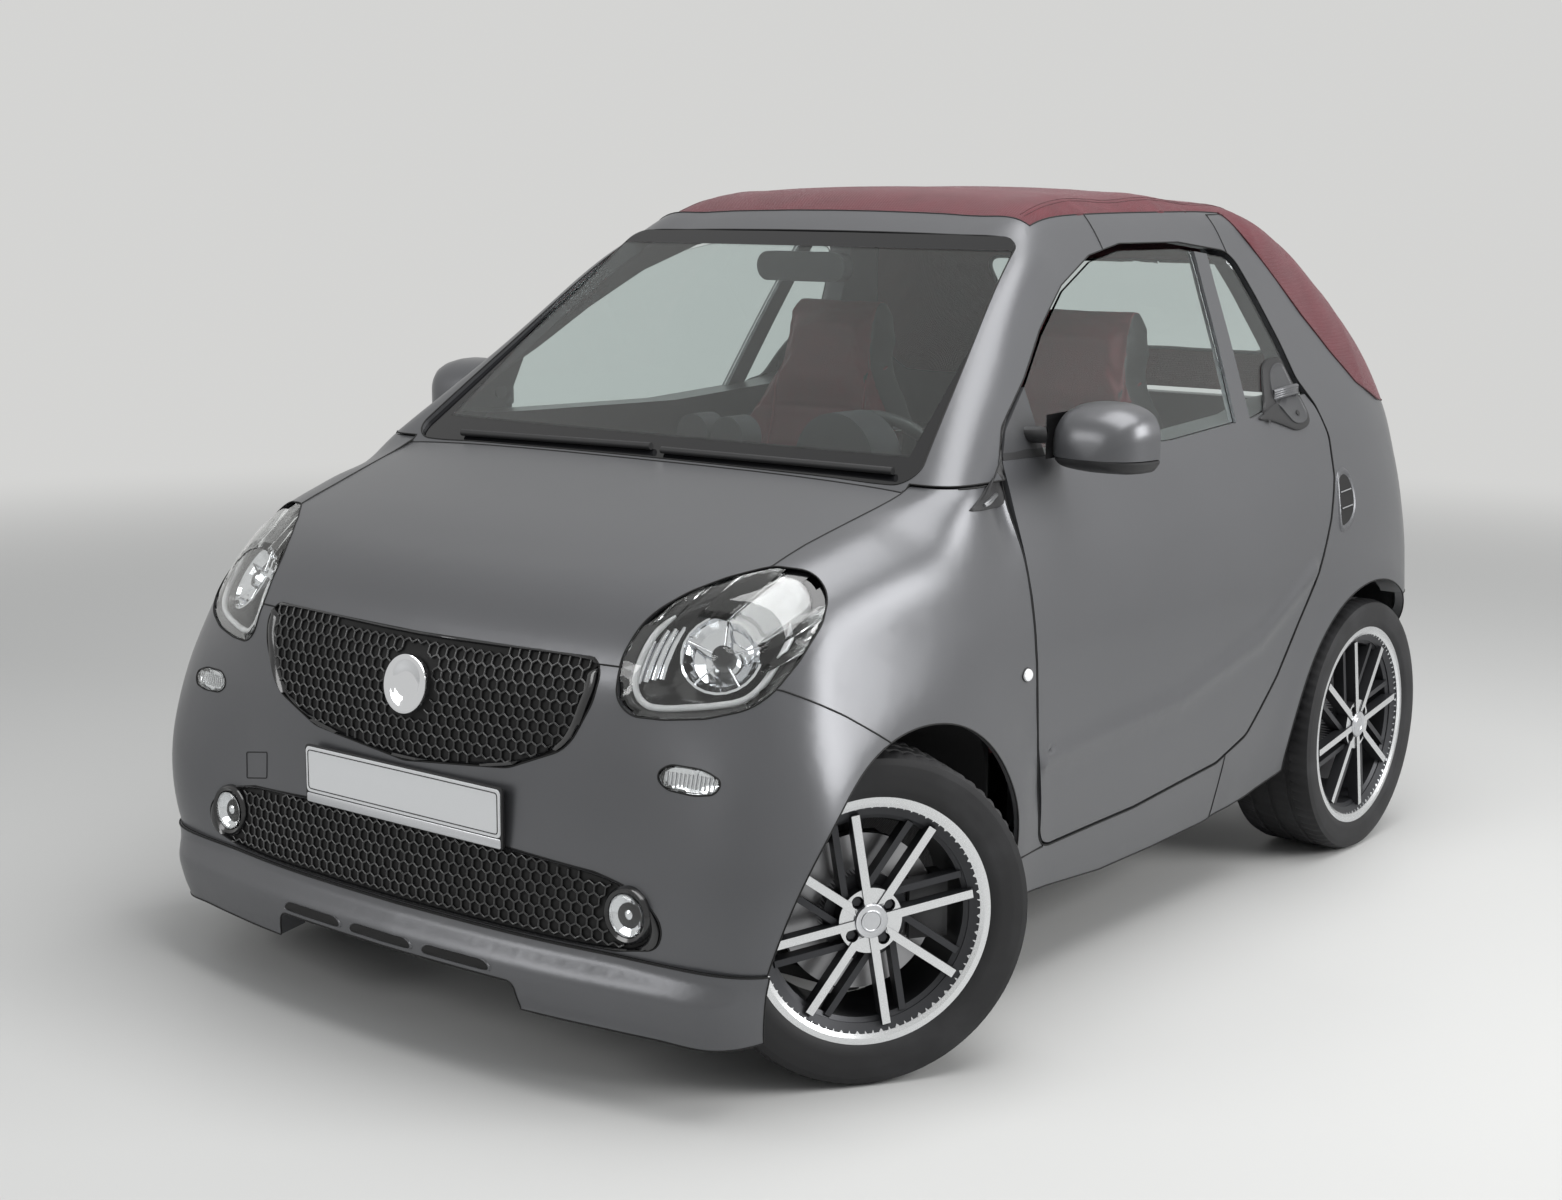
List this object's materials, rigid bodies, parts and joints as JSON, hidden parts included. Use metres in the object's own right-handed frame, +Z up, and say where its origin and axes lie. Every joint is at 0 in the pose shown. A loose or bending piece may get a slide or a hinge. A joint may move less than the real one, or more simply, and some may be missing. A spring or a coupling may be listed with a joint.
{
  "type": "microcar",
  "caption": "Two-seat soft-top city car with hinged doors, drop-down tailgate, steered front wheels, open cabin and rear engine.",
  "frame": {"origin": "on the ground under the middle of the car's overall box", "axes": "+X towards the car's left side, +Y towards its rear, +Z up; the front faces -Y"},
  "size_m": [1.9196, 2.6943, 1.5459],
  "materials": {
    "body_paint": "satin titanium grey paint",
    "black_plastic": "grained black plastic",
    "dark_gloss": "gloss black plastic",
    "roof_fabric": "dark red woven soft-top fabric",
    "seat_cover": "dark red seat cover",
    "trim_plastic": "dark interior plastic",
    "carpet": "dark carpet on steel",
    "window_glass": "lightly tinted glass",
    "lamp_clear": "clear lamp lens",
    "lamp_red": "red lamp lens",
    "tyre": "black tyre rubber",
    "alloy": "machined and dark painted alloy",
    "steel": "bare and coated steel",
    "cast_iron": "cast knuckle",
    "chassis_steel": "black chassis paint",
    "rear_view_mirror": "black housing with a mirror face",
    "plate_white": "blank white plate"
  },
  "bodies": {
    "car_body": {"body_glass": "window_glass", "bonnet": "body_paint", "cell_left": "body_paint", "cell_right": "body_paint", "dashboard": "trim_plastic", "engine_block": "chassis_steel", "exhaust": "steel", "floor_pan": "carpet", "front_bumper": "body_paint", "front_fenders": "body_paint", "front_lip": "body_paint", "front_suspension": "chassis_steel", "grilles": "black_plastic", "headlamps": "lamp_clear", "indicator_lamps": "lamp_clear", "interior_mirror": "rear_view_mirror", "number_plates": "plate_white", "rear_axle": "chassis_steel", "rear_bumper": "body_paint", "roof_rails": "body_paint", "seats": "seat_cover", "soft_top": "roof_fabric", "tail_lamps": "lamp_red", "wheel_liners": "black_plastic", "windscreen_frame": "body_paint", "wipers": "black_plastic"},
    "left_door": {"door_left": "body_paint", "door_glass_left": "window_glass", "mirror_left": "body_paint"},
    "right_door": {"door_right": "body_paint", "door_glass_right": "window_glass", "mirror_right": "body_paint"},
    "tailgate_lid": {"tailgate": "body_paint"},
    "knuckle_body_left": {"knuckle_left": "cast_iron"},
    "knuckle_body_right": {"knuckle_right": "cast_iron"},
    "front_wheel_left": {"front_rim_left": "alloy", "front_tyre_left": "tyre"},
    "front_wheel_right": {"front_rim_right": "alloy", "front_tyre_right": "tyre"},
    "rear_wheel_left": {"rear_rim_left": "alloy", "rear_tyre_left": "tyre"},
    "rear_wheel_right": {"rear_rim_right": "alloy", "rear_tyre_right": "tyre"},
    "steering_hand_wheel": {"steering_wheel": "trim_plastic"}
  },
  "joints": [
    {"name": "door_left_hinge", "type": "hinge", "parent": "car_body", "child": "left_door", "pos_m": [0.815, -0.465, 0.6], "axis": [0, 0, -1], "range_deg": [0, 68]},
    {"name": "door_right_hinge", "type": "hinge", "parent": "car_body", "child": "right_door", "pos_m": [-0.815, -0.465, 0.6], "axis": [0, 0, 1], "range_deg": [0, 68]},
    {"name": "tailgate_hinge", "type": "hinge", "parent": "car_body", "child": "tailgate_lid", "pos_m": [0, 1.35, 0.614], "axis": [-1, 0, 0], "range_deg": [0, 90]},
    {"name": "steer_left", "type": "hinge", "parent": "car_body", "child": "knuckle_body_left", "pos_m": [0.7, -0.8885, 0.2957], "axis": [0, 0, 1], "range_deg": [-3, 69]},
    {"name": "steer_right", "type": "hinge", "parent": "car_body", "child": "knuckle_body_right", "pos_m": [-0.7, -0.8885, 0.2957], "axis": [0, 0, 1], "range_deg": [-3, 69]},
    {"name": "steering_wheel_turn", "type": "hinge", "parent": "car_body", "child": "steering_hand_wheel", "pos_m": [0.345, -0.26058, 0.9276], "axis": [0, 0.891, 0.454], "range_deg": [-42, 966]},
    {"name": "front_wheel_left_spin", "type": "hinge", "parent": "knuckle_body_left", "child": "front_wheel_left", "pos_m": [0.72893, -0.90729, 0.2957], "axis": [0.8387, -0.5446, 0], "continuous": true},
    {"name": "front_wheel_right_spin", "type": "hinge", "parent": "knuckle_body_right", "child": "front_wheel_right", "pos_m": [-0.72893, -0.86971, 0.2957], "axis": [0.8387, -0.5446, 0], "continuous": true},
    {"name": "rear_wheel_left_spin", "type": "hinge", "parent": "car_body", "child": "rear_wheel_left", "pos_m": [0.715, 0.9845, 0.2979], "axis": [1, 0, 0], "continuous": true},
    {"name": "rear_wheel_right_spin", "type": "hinge", "parent": "car_body", "child": "rear_wheel_right", "pos_m": [-0.715, 0.9845, 0.2979], "axis": [1, 0, 0], "continuous": true}
  ],
  "couplings": [
    {"joint": "steer_right", "follows": "steer_left", "ratio": 1},
    {"joint": "steering_wheel_turn", "follows": "steer_left", "ratio": 14}
  ]
}
